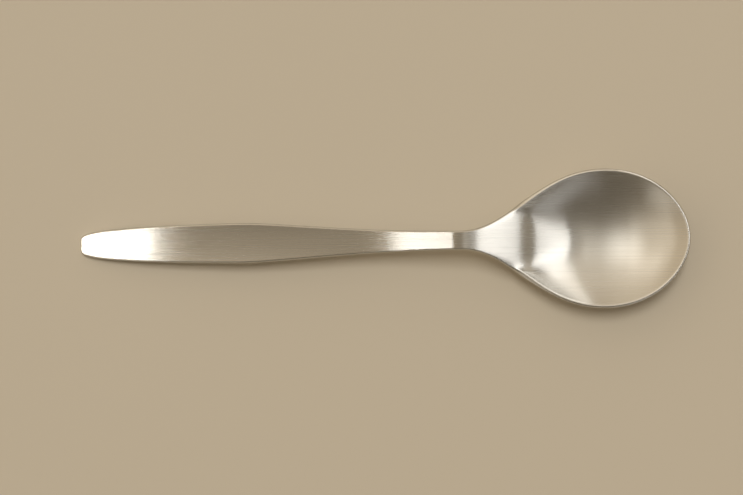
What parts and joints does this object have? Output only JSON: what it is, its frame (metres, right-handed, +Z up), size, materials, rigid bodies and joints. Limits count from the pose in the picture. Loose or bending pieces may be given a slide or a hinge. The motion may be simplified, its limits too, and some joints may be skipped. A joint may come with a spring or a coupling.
{
  "type": "teaspoon",
  "caption": "Brushed stainless steel teaspoon with a leaf-shaped handle, a slim raised neck and an oval bowl, for stirring drinks and serving small measures.",
  "frame": {"origin": "on the surface that the spoon lies on, under the middle of its overall length and on its plane of symmetry", "axes": "+X from the end of the handle to the tip of the bowl, +Z up out of the bowl, +Y across to the left of the bowl"},
  "size_m": [0.1401, 0.0318, 0.0101],
  "materials": {
    "steel": "satin, brushed along the length"
  },
  "bodies": {
    "root": {"spoon": "steel"}
  },
  "joints": []
}
